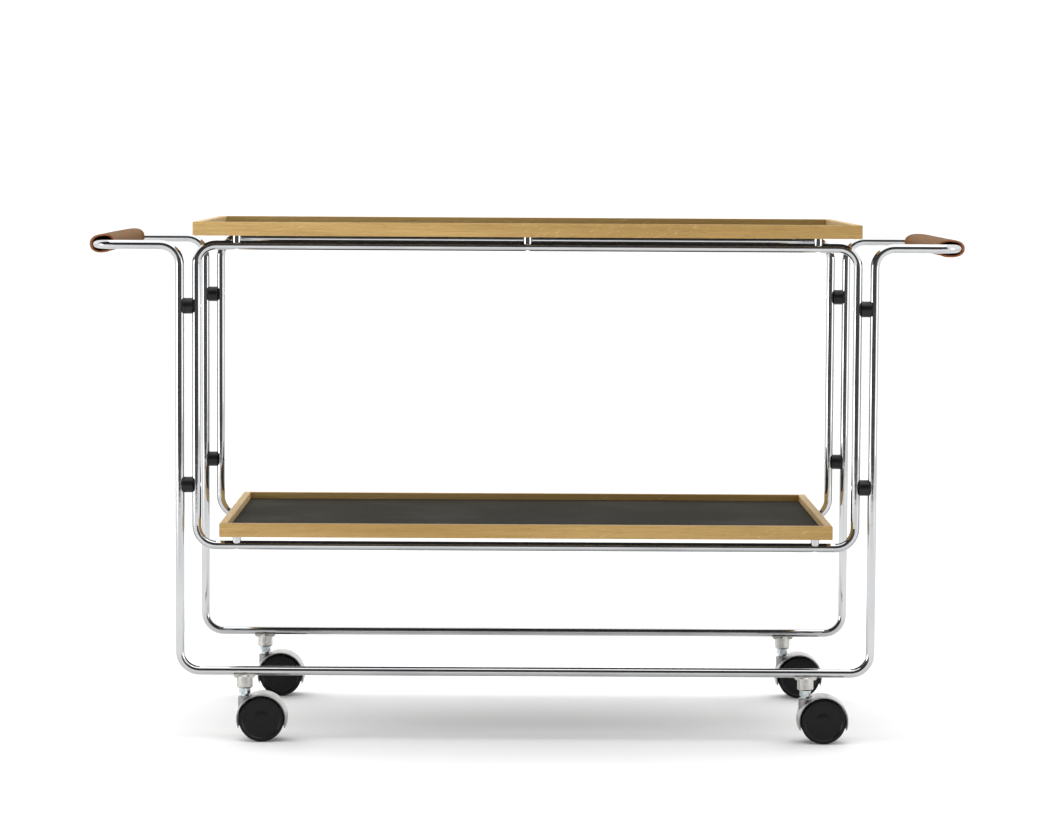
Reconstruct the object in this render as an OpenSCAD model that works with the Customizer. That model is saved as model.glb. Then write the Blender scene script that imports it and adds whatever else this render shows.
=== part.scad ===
// Bar cart on wheels: chromed tube frames, two oak trays, leather grips and four twin-wheel casters.
// Frame: origin on the floor under the middle of the cart, X along its length, -Y towards its front, +Z up.

/* [Frame tubes] */
// Distance between the centrelines of the two outer uprights
outer_span = 914; // [800:1:1200]
// Distance between the centrelines of the front and back tubes
frame_depth = 400; // [320:1:500]
// Height from the outer bottom rail to the handles, between centrelines
frame_h = 563; // [460:1:700]
// Height from the outer bottom rail to the inner bottom rail, between centrelines
shelf_rise = 167; // [120:1:220]
// Distance that the handles reach out past the outer uprights, between centrelines
handle_reach = 113; // [90:1:150]
// Outer diameter of the tubes
tube_d = 12; // [11:0.1:16]
// Wall of the tubes
tube_wall = 1.5; // [1:0.1:2]
// Centreline radius of every bend
bend_r = 26; // [20:1:35]
// Clear gap between an outer upright and the inner upright beside it
upright_gap = 10; // [8:0.5:16]
// Length of the joining spigot inside each handle
spigot_l = 60; // [40:1:100]

/* [Spacers] */
// Diameter of the spacers between the uprights
spacer_d = 21; // [18:0.5:26]
// How far a spacer's saddles wrap past the faces of the tubes
spacer_lip = 1.5; // [1:0.1:3]
// Distance of the spacers from the rails of the inner frame, between centrelines
spacer_inset = 80; // [60:1:120]

/* [Trays] */
// Thickness of a tray's rim
rim_t = 10; // [8:0.5:16]
// Height of the rim that stands above the tray's surface
rim_lip = 8.8; // [5:0.1:20]
// Thickness of the dark-faced plywood panel, which lies in the rims' rebates
core_t = 8; // [7:0.5:15]
// Width of the rebate that the panel's edge lies in
rebate_w = 5; // [3:0.5:7]
// Thickness of the dark surface on the panel
surface_t = 1.2; // [0.8:0.1:2]
// How far the upper tray reaches past the inner uprights' centrelines, at each end
upper_overhang = 3; // [0:0.5:10]
// Clear gap between the lower tray and the inner uprights, at each end
lower_gap = 25.5; // [10:0.5:60]
// How far both trays reach past the tubes' centrelines, at the front and back
side_overhang = 23; // [14:0.5:40]
// Clear height between a rail and the tray that stands over it
post_h = 6.8; // [4:0.1:20]
// Diameter of the posts
post_d = 12; // [10:0.5:16]
// Distance of the end posts from the inner uprights, between centrelines
post_inset = 53; // [50:1:100]

/* [Screws] */
// Thread diameter of the screws
screw_d = 4; // [3:0.5:4]
// Diameter of the screw heads, which sit inside the tubes
screw_head_d = 7; // [6:0.5:7]
// Height of the screw heads
screw_head_h = 2.4; // [1.5:0.1:3]
// Depth of a tray screw in the panel
screw_grip = 5; // [4:0.5:5]
// Diametral clearance around a screw where it passes through
screw_clear = 0.4; // [0.2:0.1:0.8]
// Outer diameter of the rivet nuts in the outer uprights
rivet_nut_d = 7; // [6:0.5:7]
// Length of the rivet nuts behind the tube's wall
rivet_nut_l = 6; // [5:0.5:7]

/* [Grips] */
// Width of a grip across the crossbar
grip_w = 36.7; // [32:0.1:60]
// Thickness of the leather
grip_t = 2.2; // [1.5:0.1:3]
// Air above and below the crossbar inside the grip
grip_air = 3; // [1.5:0.1:5]
// Distance from the tubes' centrelines to each end of the grip
grip_end = 12; // [9:0.5:20]
// Depth of the groove that the crossbar presses into the fold of the leather
grip_groove = 0.3; // [0.1:0.05:0.6]

/* [Casters] */
// Distance of a caster's stem from the outer upright, between centrelines
caster_inset = 85.5; // [60:0.5:150]
// Diameter of the wheels
wheel_d = 60; // [50:1:75]
// Distance from the stem's axis to the axle
trail = 23; // [22:0.5:25]
// Width across both wheels and the hood
caster_w = 44; // [42:0.5:60]
// Rise of the hood's crown between its edges and its middle
hood_crown = 1.3; // [1:0.1:4]
// Wall of the hood
hood_wall = 1.2; // [1:0.1:2.5]
// Gap between a wheel's tread and the hood's edge
hood_gap = 1.5; // [0.4:0.1:2]
// Angle that the hood reaches below the axle at each side
hood_drop = 20; // [10:1:25]
// Diameter of the swivel housing
housing_d = 18; // [16:0.5:18.5]
// Distance of the housing's top below the hood's crown
housing_sink = 5.5; // [3:0.5:8]
// Diameter of the axle
axle_d = 6; // [5:0.5:8]
// Diameter of a wheel's hub
hub_d = 14; // [11:0.5:18]
// Thickness of a wheel's tread ring
tread_t = 4.5; // [3:0.5:6]
// Thickness of a wheel's disc
disc_t = 3; // [2:0.5:4]
// Diameter of the stem
stem_d = 8; // [8:0.5:10]
// Width across the flats of the stem's hexagon
hex_af = 13; // [13:0.5:16]
// Height of the hexagon
hex_h = 8; // [5:0.5:12]
// Height of the round neck under the hexagon
neck_h = 2.6; // [1:0.1:8]
// Diameter of the socket under the bottom rail
socket_d = 21.3; // [16:0.1:24]
// Height of the socket
socket_h = 16.6; // [12:0.1:24]
// Length of the socket's saddle along the rail
saddle_l = 29; // [24:0.5:40]
// Radial clearance of a running fit
run_clear = 0.05; // [0.02:0.01:0.1]
// Gap between the stem's neck and the swivel housing under it
neck_gap = 0.3; // [0.2:0.05:0.6]
// Height of the stem's lower end above the axle's centreline
stem_rise = 9; // [8.5:0.5:10]
// Gap between the housing and the wheels' treads beside it
housing_gap = 0.8; // [0.5:0.1:1]
// How far the hood stands out past each wheel's face
face_inset = 0.5; // [0.3:0.1:1]
// Depth of the axle's ends below the wheels' faces
axle_sink = 4.5; // [4:0.5:5]
// Thickness of the split rings around the stems
ring_t = 0.8; // [0.5:0.1:1]

/* [Hidden] */
$fn = 64;
eps = 0.01;
tube_r = tube_d / 2;
bore_r = tube_r - tube_wall;
screw_hole_d = screw_d + screw_clear;
head_hole_room = 1;
head_hole_d = screw_head_d + head_hole_room;
seat_room = 0.05;
// Height at which a screw head fits against the inside of a tube
head_seat = sqrt(pow(bore_r, 2) - pow(screw_head_d / 2, 2)) - seat_room;
seat_bottom = head_seat - screw_head_h;

outer_x = outer_span / 2;
inner_x = outer_x - tube_d - upright_gap;
bar_x = outer_x + handle_reach;
tube_y = frame_depth / 2;

wheel_r = wheel_d / 2;
hood_edge_r = wheel_r + hood_gap + hood_wall;
hood_r = hood_edge_r + hood_crown;
housing_top = wheel_r + hood_r - housing_sink;
neck_bottom = housing_top + neck_gap;
hex_bottom = neck_bottom + neck_h;
socket_bottom = hex_bottom + hex_h;
rail_z = socket_bottom + socket_h + tube_r;
low_z = rail_z + shelf_rise;
top_z = rail_z + frame_h;

spacer_z = [low_z + spacer_inset, top_z - spacer_inset];
spacer_x = (outer_x + inner_x) / 2;
spacer_l = upright_gap + 2 * spacer_lip;

tray_w = frame_depth + 2 * side_overhang;
upper_l = 2 * (inner_x + upper_overhang);
lower_l = 2 * (inner_x - tube_r - lower_gap);
upper_bottom = top_z + tube_r + post_h;
lower_bottom = low_z + tube_r + post_h;
rim_h = core_t + surface_t + rim_lip;
post_x = inner_x - post_inset;
UPPER_POSTS = [-post_x, 0, post_x];
LOWER_POSTS = [-post_x, post_x];

grip_h = tube_d + 2 * (grip_air + grip_t);
grip_l = frame_depth - 2 * grip_end;
grip_out = bar_x + tube_r + grip_t - grip_groove;

stem_x = outer_x - caster_inset;
wheel_w = caster_w / 2 - face_inset;
boss_half = 5;
rim_in = housing_d / 2 + housing_gap;
axle_half = wheel_w - axle_sink;
groove_w = 1.4;
snap_depth = 0.4;
snap_in = 3;
ring_groove_depth = 0.9;
ring_groove_d = stem_d - 2 * ring_groove_depth;
ring_d = stem_d + 2 * ring_t;
stem_bottom = wheel_r + stem_rise;
ring_rise = 2;
ring_z = stem_bottom + ring_rise;
socket_floor = 1.5;
socket_bore_top = rail_z - tube_r - socket_floor;
stem_end_room = 1;

LEFT = -1;
RIGHT = 1;
FRONT = -1;
BACK = 1;

function unit(v) = v / norm(v);

// Places children with their x, y and z axes along three directions
module placed(p, x, y, z) {
    multmatrix([
        [x[0], y[0], z[0], p[0]],
        [x[1], y[1], z[1], p[1]],
        [x[2], y[2], z[2], p[2]],
        [0, 0, 0, 1]
    ]) children();
}

// A round bar of radius r from a to b, along one of the axes
module straight(a, b, r) {
    along = unit(b - a);
    side = [along[1], along[2], along[0]];
    placed(a, side, cross(along, side), along) cylinder(r = r, h = norm(b - a));
}

// A quarter bend of a round bar of radius r, from direction u to direction v at a corner
module quarter_bend(corner, u, v, r) {
    placed(corner + bend_r * (v - u), -v, u, cross(u, v))
        rotate_extrude(angle = 90) translate([bend_r, 0]) circle(r = r);
}

// A round bar of radius r through a list of square corners
module bent_bar(pts, r, closed = false) {
    n = len(pts);
    spans = closed ? n : n - 1;
    for (i = [0:spans - 1]) {
        a = pts[i];
        b = pts[(i + 1) % n];
        u = unit(b - a);
        from_bend = closed || i > 0;
        to_bend = closed || i < n - 2;
        straight(a + (from_bend ? bend_r : 0) * u, b - (to_bend ? bend_r : 0) * u, r);
        if (to_bend) quarter_bend(b, u, unit(pts[(i + 2) % n] - b), r);
    }
}

// A hole along X from the middle of an upright out through its wall, to the left or right
module cross_hole(x, y, z, d, to) {
    translate([x, y, z]) rotate([0, 90 * to, 0]) cylinder(d = d, h = tube_d);
}

// Back outer frame: bottom rail, two uprights, two handle arms and half of each crossbar
module outer_frame() {
    path = [
        [-bar_x, 0, top_z], [-bar_x, tube_y, top_z], [-outer_x, tube_y, top_z], [-outer_x, tube_y, rail_z],
        [outer_x, tube_y, rail_z], [outer_x, tube_y, top_z], [bar_x, tube_y, top_z], [bar_x, 0, top_z]
    ];
    color("gainsboro") difference() {
        bent_bar(path, tube_r);
        bent_bar(path, bore_r);
        for (end = [LEFT, RIGHT], z = spacer_z) cross_hole(end * outer_x, tube_y, z, rivet_nut_d, -end);
    }
}

// Back inner frame: a closed loop with rounded corners
module inner_frame() {
    path = [
        [-inner_x, tube_y, low_z], [inner_x, tube_y, low_z],
        [inner_x, tube_y, top_z], [-inner_x, tube_y, top_z]
    ];
    color("gainsboro") difference() {
        bent_bar(path, tube_r, closed = true);
        bent_bar(path, bore_r, closed = true);
        for (end = [LEFT, RIGHT], z = spacer_z) {
            cross_hole(end * inner_x, tube_y, z, screw_hole_d, end);
            cross_hole(end * inner_x, tube_y, z, head_hole_d, -end);
        }
        for (x = LOWER_POSTS) rail_hole(x, tube_y, low_z);
        for (x = UPPER_POSTS) rail_hole(x, tube_y, top_z);
    }
}

// Holes for a tray screw in a rail: narrow above, wide below for the head to pass
module rail_hole(x, y, z) {
    translate([x, y, z]) cylinder(d = screw_hole_d, h = tube_d);
    translate([x, y, z - tube_d]) cylinder(d = head_hole_d, h = tube_d);
}

// Round pin inside a handle's crossbar that joins the front and back outer frames
module handle_spigot(side) {
    color("silver") translate([side * bar_x, spigot_l / 2, top_z])
        rotate([90, 0, 0]) cylinder(r = bore_r, h = spigot_l);
}

// Outline of the leather around a crossbar, a flat loop with round ends; inset makes it smaller all round
module grip_outline(inset) {
    r = grip_h / 2 - inset;
    span = grip_w - grip_h;
    circle(r = r);
    translate([-span, 0]) circle(r = r);
    translate([-span, -r]) square([span, 2 * r]);
}

// Leather sleeve around a handle's crossbar, folded over its outer side, which the crossbar presses into
module grip(side) {
    color("peru") difference() {
        translate([side * (grip_out - grip_h / 2), 0, top_z])
            placed([0, side * grip_l / 2, 0], [side, 0, 0], [0, 0, 1], [0, -side, 0])
                linear_extrude(grip_l) difference() {
                    grip_outline(0);
                    grip_outline(grip_t);
                }
        translate([side * bar_x, grip_l / 2 + 1, top_z])
            rotate([90, 0, 0]) cylinder(r = tube_r, h = grip_l + 2);
    }
}

// Black spacer between an outer and an inner upright, with a saddle for each tube
module spacer(side, end, z) {
    color("#1c1c1d") difference() {
        translate([end * spacer_x - spacer_l / 2, side * tube_y, z])
            rotate([0, 90, 0]) cylinder(d = spacer_d, h = spacer_l);
        for (x = [outer_x, inner_x])
            translate([end * x, side * tube_y, z - spacer_d]) cylinder(r = tube_r, h = 2 * spacer_d);
        translate([end * spacer_x - spacer_l / 2 - 1, side * tube_y, z])
            rotate([0, 90, 0]) cylinder(d = screw_hole_d, h = spacer_l + 2);
    }
}

// Screws through the inner uprights and the spacers into the rivet nuts
module spacer_screws() {
    tip_room = 1;
    reach = outer_x - inner_x - head_seat - bore_r + rivet_nut_l - tip_room;
    color("darkgray") for (side = [FRONT, BACK], end = [LEFT, RIGHT], z = spacer_z)
        translate([end * inner_x, side * tube_y, z]) rotate([0, 90 * end, 0]) {
            translate([0, 0, seat_bottom]) cylinder(d = screw_head_d, h = screw_head_h);
            translate([0, 0, head_seat - eps]) cylinder(d = screw_d, h = reach);
        }
}

// Threaded rivet nuts set in the walls of the outer uprights
module spacer_rivet_nuts() {
    color("silver") for (side = [FRONT, BACK], end = [LEFT, RIGHT], z = spacer_z)
        translate([end * outer_x, side * tube_y, z]) rotate([0, 90 * end, 0])
            translate([0, 0, -sqrt(pow(tube_r, 2) - pow(rivet_nut_d / 2, 2))]) difference() {
                cylinder(d = rivet_nut_d, h = rivet_nut_l);
                translate([0, 0, -1]) cylinder(d = screw_d, h = rivet_nut_l + 2);
            }
}

// Short posts that carry a tray on its rails, with a saddle under each
module tray_posts(xs, rail, tray_bottom) {
    start = rail + tube_r / 2;
    color("gainsboro") for (x = xs, side = [FRONT, BACK]) difference() {
        translate([x, side * tube_y, start]) cylinder(d = post_d, h = tray_bottom - start);
        translate([x - post_d, side * tube_y, rail]) rotate([0, 90, 0]) cylinder(r = tube_r, h = 2 * post_d);
        translate([x, side * tube_y, start - 1]) cylinder(d = screw_hole_d, h = tray_bottom - start + 2);
    }
}

// Screws from inside the rails, up through the posts into a tray's panel
module tray_screws(xs, rail, tray_bottom) {
    color("darkgray") for (x = xs, side = [FRONT, BACK]) translate([x, side * tube_y, rail]) {
        translate([0, 0, seat_bottom]) cylinder(d = screw_head_d, h = screw_head_h);
        translate([0, 0, head_seat - eps])
            cylinder(d = screw_d, h = tray_bottom + screw_grip - rail - head_seat + eps);
    }
}

// Section of a rim, seen along it: outer face at 0, inner face at rim_t, rebate at the bottom of the inside
module rim_section() {
    polygon([
        [0, 0], [rim_t - rebate_w, 0], [rim_t - rebate_w, core_t],
        [rim_t, core_t], [rim_t, rim_h], [0, rim_h]
    ]);
}

// One side of a tray's frame, l long, with 45 degree mitres; it lies along X with its outer face at y = 0
module mitred_rim(l) {
    color("burlywood") intersection() {
        translate([-l / 2, 0, 0]) rotate([90, 0, 90]) linear_extrude(l) rim_section();
        linear_extrude(rim_h)
            polygon([[-l / 2, 0], [l / 2, 0], [l / 2 - rim_t, rim_t], [rim_t - l / 2, rim_t]]);
    }
}

module long_rim(l, side, z) {
    translate([0, side * tray_w / 2, z]) rotate([0, 0, side == FRONT ? 0 : 180]) mitred_rim(l);
}

module end_rim(l, end, z) {
    translate([end * l / 2, 0, z]) rotate([0, 0, end == LEFT ? -90 : 90]) mitred_rim(tray_w);
}

// Dark-faced plywood panel that lies in the rebates, with a pilot hole for each screw
module tray_panel(l, z, xs) {
    edge = 2 * (rim_t - rebate_w);
    tip_room = 1;
    color("#33302c") difference() {
        translate([edge / 2 - l / 2, (edge - tray_w) / 2, z]) cube([l - edge, tray_w - edge, core_t]);
        for (x = xs, side = [FRONT, BACK])
            translate([x, side * tube_y, z - 1]) cylinder(d = screw_d, h = screw_grip + tip_room + 1);
    }
}

// Dark matt sheet bonded to the panel between the rims
module tray_surface(l, z) {
    color("#44423c") translate([rim_t - l / 2, rim_t - tray_w / 2, z + core_t])
        cube([l - 2 * rim_t, tray_w - 2 * rim_t, surface_t]);
}

// Places children at each caster's stem, on the floor
module each_stem() {
    for (side = [FRONT, BACK], end = [LEFT, RIGHT]) translate([end * stem_x, side * tube_y, 0]) children();
}

// Sockets welded under the bottom rails: a saddle along the rail and a chamfered barrel with a blind bore
module caster_sockets() {
    rail_bottom = rail_z - tube_r;
    barrel_top = rail_bottom + 1;
    barrel_r = socket_d / 2;
    chamfer = 1.6;
    half = saddle_l / 2;
    color("silver") each_stem() difference() {
        union() {
            rotate_extrude() polygon([
                [0, socket_bottom], [barrel_r - chamfer, socket_bottom], [barrel_r, socket_bottom + chamfer],
                [barrel_r, barrel_top - chamfer], [barrel_r - chamfer, barrel_top], [0, barrel_top]
            ]);
            saddle_blank(half, rail_bottom);
        }
        translate([-saddle_l, 0, rail_z]) rotate([0, 90, 0]) cylinder(r = tube_r, h = 2 * saddle_l);
        translate([0, 0, socket_bottom - 1]) cylinder(d = stem_d, h = socket_bore_top - socket_bottom + 1);
    }
}

// Block along a rail, with tapered ends, that a saddle is cut from
module saddle_blank(half, rail_bottom) {
    skirt = 2.5;
    taper = 2;
    wall = 1;
    translate([0, tube_r + wall, 0]) rotate([90, 0, 0]) linear_extrude(2 * (tube_r + wall)) polygon([
        [taper - half, rail_bottom - skirt], [half - taper, rail_bottom - skirt],
        [half, rail_bottom - skirt + taper], [half, rail_bottom + taper],
        [-half, rail_bottom + taper], [-half, rail_bottom - skirt + taper]
    ]);
}

// Threaded stems with a hexagon, a neck that stands on the housing, and a grooved journal below
module caster_stems() {
    neck_d = hex_af - 2;
    color("lightsteelblue") each_stem() difference() {
        union() {
            translate([0, 0, stem_bottom])
                cylinder(d = stem_d, h = socket_bore_top - stem_end_room - stem_bottom);
            translate([0, 0, neck_bottom]) cylinder(d = neck_d, h = neck_h);
            intersection() {
                translate([0, 0, hex_bottom]) cylinder(d = hex_af / cos(30), h = hex_h, $fn = 6);
                translate([0, 0, hex_bottom]) hexagon_chamfer();
            }
        }
        translate([0, 0, ring_z - groove_w / 2]) difference() {
            cylinder(d = stem_d + 2, h = groove_w);
            translate([0, 0, -1]) cylinder(d = ring_groove_d, h = groove_w + 2);
        }
    }
}

// Turned blank that rounds off the corners of a hexagon at both of its faces
module hexagon_chamfer() {
    corner_r = hex_af / cos(30) / 2;
    cut = 0.8;
    rotate_extrude() polygon([
        [0, 0], [corner_r - cut, 0], [corner_r, cut],
        [corner_r, hex_h - cut], [corner_r - cut, hex_h], [0, hex_h]
    ]);
}

// Split rings that hold the stems in the housings
module caster_retaining_rings() {
    room = 0.1;
    split = 1.5;
    color("dimgray") each_stem() translate([0, 0, ring_z - groove_w / 2 + room]) difference() {
        cylinder(d = ring_d, h = groove_w - 2 * room);
        translate([0, 0, -1]) cylinder(d = ring_groove_d, h = groove_w + 2);
        translate([0, -split / 2, -1]) cube([ring_d, split, groove_w + 2]);
    }
}

// Places children at a caster's axle, with +X trailing behind the stem
module at_axle(side, end) {
    translate([end * stem_x + trail, side * tube_y, wheel_r]) children();
}

// Turns a profile drawn in (radius, width) about the axle, which lies along Y
module turned_about_axle(from = 0, sweep = 360) {
    rotate([90, 0, 0]) rotate([0, 0, from]) rotate_extrude(angle = sweep) children();
}

// Section of the hood's shell: a shallow arc of even wall, widest in the middle
module hood_section() {
    half = caster_w / 2;
    arc_r = (pow(half, 2) + pow(hood_crown, 2)) / (2 * hood_crown);
    inner_r = wheel_r + hood_gap;
    intersection() {
        translate([hood_r - arc_r, 0]) difference() {
            circle(r = arc_r, $fn = 360);
            circle(r = arc_r - hood_wall, $fn = 360);
        }
        translate([inner_r - 2, -half]) square([hood_r - inner_r + 4, caster_w]);
    }
}

// Web in the middle of the hood, from the shell in to the axle
module hood_web() {
    half = 2;
    intersection() {
        rotate([90, 0, 0]) translate([0, 0, -half]) cylinder(r = hood_r - hood_wall / 2, h = 2 * half);
        translate([-hood_r, -half - 1, -hood_edge_r * sin(hood_drop)])
            cube([2 * hood_r, 2 * half + 2, 2 * hood_r]);
    }
}

// Swivel housing beside the wheels, with its top edge chamfered
module swivel_housing() {
    above_axle = 5;
    low = wheel_r + above_axle;
    chamfer = 1;
    translate([0, 0, low]) cylinder(d = housing_d, h = housing_top - chamfer - low);
    translate([0, 0, housing_top - chamfer])
        cylinder(d1 = housing_d, d2 = housing_d - 2 * chamfer, h = chamfer);
}

// Space inside a hood for the stem, its neck and hexagon, and the split ring
module stem_space() {
    pocket_room = 3;
    ring_room = 0.3;
    ring_side_room = 0.4;
    translate([0, 0, stem_bottom - 1])
        cylinder(d = stem_d + 2 * run_clear, h = housing_top - stem_bottom + 2);
    translate([0, 0, housing_top])
        cylinder(d = hex_af + 2 * pocket_room, h = hex_bottom - housing_top + pocket_room);
    translate([0, 0, ring_z - groove_w / 2 - ring_room])
        cylinder(d = ring_d + 2 * ring_side_room, h = groove_w + 2 * ring_room);
}

// Cast hood over both wheels, with its middle web, axle boss and swivel housing, and a pocket beside the neck
module caster_hood(side, end) {
    color("lightgray") difference() {
        union() {
            at_axle(side, end) {
                turned_about_axle(-hood_drop, 180 + 2 * hood_drop) hood_section();
                hood_web();
                rotate([90, 0, 0]) translate([0, 0, -boss_half]) cylinder(d = hub_d, h = 2 * boss_half);
            }
            translate([end * stem_x, side * tube_y, 0]) swivel_housing();
        }
        translate([end * stem_x, side * tube_y, 0]) stem_space();
        at_axle(side, end) rotate([90, 0, 0]) translate([0, 0, -boss_half - 1])
            cylinder(d = axle_d, h = 2 * boss_half + 2);
    }
}

// Axle pin with a snap groove near each end
module caster_axle(side, end) {
    axle_r = axle_d / 2;
    ease = 0.5;
    groove_r = axle_r - snap_depth;
    out = axle_half - snap_in;
    in = out - groove_w;
    color("silver") at_axle(side, end) turned_about_axle() polygon([
        [0, -axle_half], [axle_r - ease, -axle_half], [axle_r, ease - axle_half],
        [axle_r, -out], [groove_r, -out], [groove_r, -in], [axle_r, -in],
        [axle_r, in], [groove_r, in], [groove_r, out], [axle_r, out],
        [axle_r, axle_half - ease], [axle_r - ease, axle_half], [0, axle_half]
    ]);
}

// Section of one wheel from the middle plane outwards: hub, disc, tread ring and a raised ring on the face
module wheel_section() {
    room = 0.3;
    bore = axle_d / 2 + run_clear;
    bead = 0.3;
    bead_low = axle_half - snap_in - groove_w + room;
    bead_high = axle_half - snap_in - room;
    hub_r = hub_d / 2;
    hub_ease = 0.5;
    ease = 1;
    ring_step = 1;
    ring_lean = 1.2;
    dish_w = 4;
    dish = 0.4;
    face = wheel_w - ring_step;
    disc_in = face - disc_t;
    inner_r = wheel_r - tread_t;
    round_r = 3;
    polygon([
        [bore, boss_half + room], [hub_r - hub_ease, boss_half + room],
        [hub_r, boss_half + room + hub_ease], [hub_r, disc_in - ease], [hub_r + ease, disc_in],
        [inner_r - ease, disc_in], [inner_r, disc_in - ease],
        [inner_r, rim_in], [wheel_r - ease, rim_in], [wheel_r, rim_in + ease],
        each [for (a = [0:15:90])
            [wheel_r - round_r + round_r * cos(a), wheel_w - round_r + round_r * sin(a)]],
        [inner_r, wheel_w], [inner_r - ring_lean, face], [hub_r + dish_w, face], [hub_r, face + dish],
        [0, face + dish], [0, axle_half + room], [bore, axle_half + room], [bore, bead_high],
        [bore - bead, bead_high - 0.1], [bore - bead, bead_low + 0.1], [bore, bead_low]
    ]);
}

// One of a caster's two wheels; which is FRONT or BACK of the middle plane
module caster_wheel(side, end, which) {
    color("#1a1a1b") at_axle(side, end) rotate([which * -90, 0, 0]) rotate_extrude() wheel_section();
}

mirror([0, 1, 0]) outer_frame();  // outer_frame_front
outer_frame();  // outer_frame_back
mirror([0, 1, 0]) inner_frame();  // inner_frame_front
inner_frame();  // inner_frame_back
handle_spigot(LEFT);  // left_handle_spigot
handle_spigot(RIGHT);  // right_handle_spigot
grip(LEFT);  // left_grip
grip(RIGHT);  // right_grip

spacer(FRONT, LEFT, spacer_z[0]);  // spacer_front_left_lower
spacer(FRONT, LEFT, spacer_z[1]);  // spacer_front_left_upper
spacer(FRONT, RIGHT, spacer_z[0]);  // spacer_front_right_lower
spacer(FRONT, RIGHT, spacer_z[1]);  // spacer_front_right_upper
spacer(BACK, LEFT, spacer_z[0]);  // spacer_back_left_lower
spacer(BACK, LEFT, spacer_z[1]);  // spacer_back_left_upper
spacer(BACK, RIGHT, spacer_z[0]);  // spacer_back_right_lower
spacer(BACK, RIGHT, spacer_z[1]);  // spacer_back_right_upper
spacer_screws();
spacer_rivet_nuts();

tray_posts(UPPER_POSTS, top_z, upper_bottom);  // upper_tray_posts
tray_posts(LOWER_POSTS, low_z, lower_bottom);  // lower_tray_posts
tray_screws(UPPER_POSTS, top_z, upper_bottom);  // upper_tray_screws
tray_screws(LOWER_POSTS, low_z, lower_bottom);  // lower_tray_screws
long_rim(upper_l, FRONT, upper_bottom);  // upper_tray_rim_front
long_rim(upper_l, BACK, upper_bottom);  // upper_tray_rim_back
end_rim(upper_l, LEFT, upper_bottom);  // upper_tray_rim_left
end_rim(upper_l, RIGHT, upper_bottom);  // upper_tray_rim_right
tray_panel(upper_l, upper_bottom, UPPER_POSTS);  // upper_tray_panel
tray_surface(upper_l, upper_bottom);  // upper_tray_surface
long_rim(lower_l, FRONT, lower_bottom);  // lower_tray_rim_front
long_rim(lower_l, BACK, lower_bottom);  // lower_tray_rim_back
end_rim(lower_l, LEFT, lower_bottom);  // lower_tray_rim_left
end_rim(lower_l, RIGHT, lower_bottom);  // lower_tray_rim_right
tray_panel(lower_l, lower_bottom, LOWER_POSTS);  // lower_tray_panel
tray_surface(lower_l, lower_bottom);  // lower_tray_surface

caster_sockets();
caster_stems();
caster_retaining_rings();
caster_hood(FRONT, LEFT);  // front_left_caster_hood
caster_axle(FRONT, LEFT);  // front_left_caster_axle
caster_wheel(FRONT, LEFT, FRONT);  // front_left_caster_front_wheel
caster_wheel(FRONT, LEFT, BACK);  // front_left_caster_back_wheel
caster_hood(FRONT, RIGHT);  // front_right_caster_hood
caster_axle(FRONT, RIGHT);  // front_right_caster_axle
caster_wheel(FRONT, RIGHT, FRONT);  // front_right_caster_front_wheel
caster_wheel(FRONT, RIGHT, BACK);  // front_right_caster_back_wheel
caster_hood(BACK, LEFT);  // back_left_caster_hood
caster_axle(BACK, LEFT);  // back_left_caster_axle
caster_wheel(BACK, LEFT, FRONT);  // back_left_caster_front_wheel
caster_wheel(BACK, LEFT, BACK);  // back_left_caster_back_wheel
caster_hood(BACK, RIGHT);  // back_right_caster_hood
caster_axle(BACK, RIGHT);  // back_right_caster_axle
caster_wheel(BACK, RIGHT, FRONT);  // back_right_caster_front_wheel
caster_wheel(BACK, RIGHT, BACK);  // back_right_caster_back_wheel
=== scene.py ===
import logging
import math
from collections.abc import Callable, Iterable
from dataclasses import dataclass, field
from enum import Enum
from typing import Any

import bmesh
import bpy
from mathutils import Matrix, Vector, noise


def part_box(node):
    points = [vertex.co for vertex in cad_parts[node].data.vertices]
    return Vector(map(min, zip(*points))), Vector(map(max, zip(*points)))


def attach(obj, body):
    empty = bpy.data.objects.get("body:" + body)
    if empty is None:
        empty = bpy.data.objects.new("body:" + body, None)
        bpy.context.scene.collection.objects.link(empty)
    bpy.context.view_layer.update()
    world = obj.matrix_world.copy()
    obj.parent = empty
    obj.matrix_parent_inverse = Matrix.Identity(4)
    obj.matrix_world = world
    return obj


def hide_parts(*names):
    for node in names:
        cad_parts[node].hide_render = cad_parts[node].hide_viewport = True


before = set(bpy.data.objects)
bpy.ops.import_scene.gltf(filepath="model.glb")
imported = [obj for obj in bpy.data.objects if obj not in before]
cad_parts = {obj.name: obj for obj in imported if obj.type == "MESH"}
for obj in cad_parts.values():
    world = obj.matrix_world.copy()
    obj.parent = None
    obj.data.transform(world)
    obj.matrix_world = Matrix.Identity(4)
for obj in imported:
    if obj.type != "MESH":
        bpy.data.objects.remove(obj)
LOG = logging.getLogger("bar_cart")
MM = 0.001

Colour = tuple[float, float, float]
Point2 = tuple[float, float]
Point3 = tuple[float, float, float]
Ring = list[Vector]
Material = bpy.types.Material
Socket = bpy.types.NodeSocket

# Sockets of the colour mix node, whose names stand for several kinds of value
MIX_SHARE, MIX_FIRST, MIX_SECOND, MIX_RESULT = 0, 6, 7, 2


class Grain(Enum):
    """The direction in which a board's fibres run."""

    ALONG_X = "along x"
    ALONG_Y = "along y"


def screen(red: int, green: int, blue: int) -> Colour:
    """Turns a colour as a screen shows it, 0 to 255, into linear light.

    Args:
        red: Red as shown.
        green: Green as shown.
        blue: Blue as shown.

    Returns:
        The colour in linear light.
    """

    def linear(value: float) -> float:
        """One channel in linear light."""
        share = value / 255
        return share / 12.92 if share <= 0.04045 else ((share + 0.055) / 1.055) ** 2.4

    return linear(red), linear(green), linear(blue)


# ---------------------------------------------------------------- node trees


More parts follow.
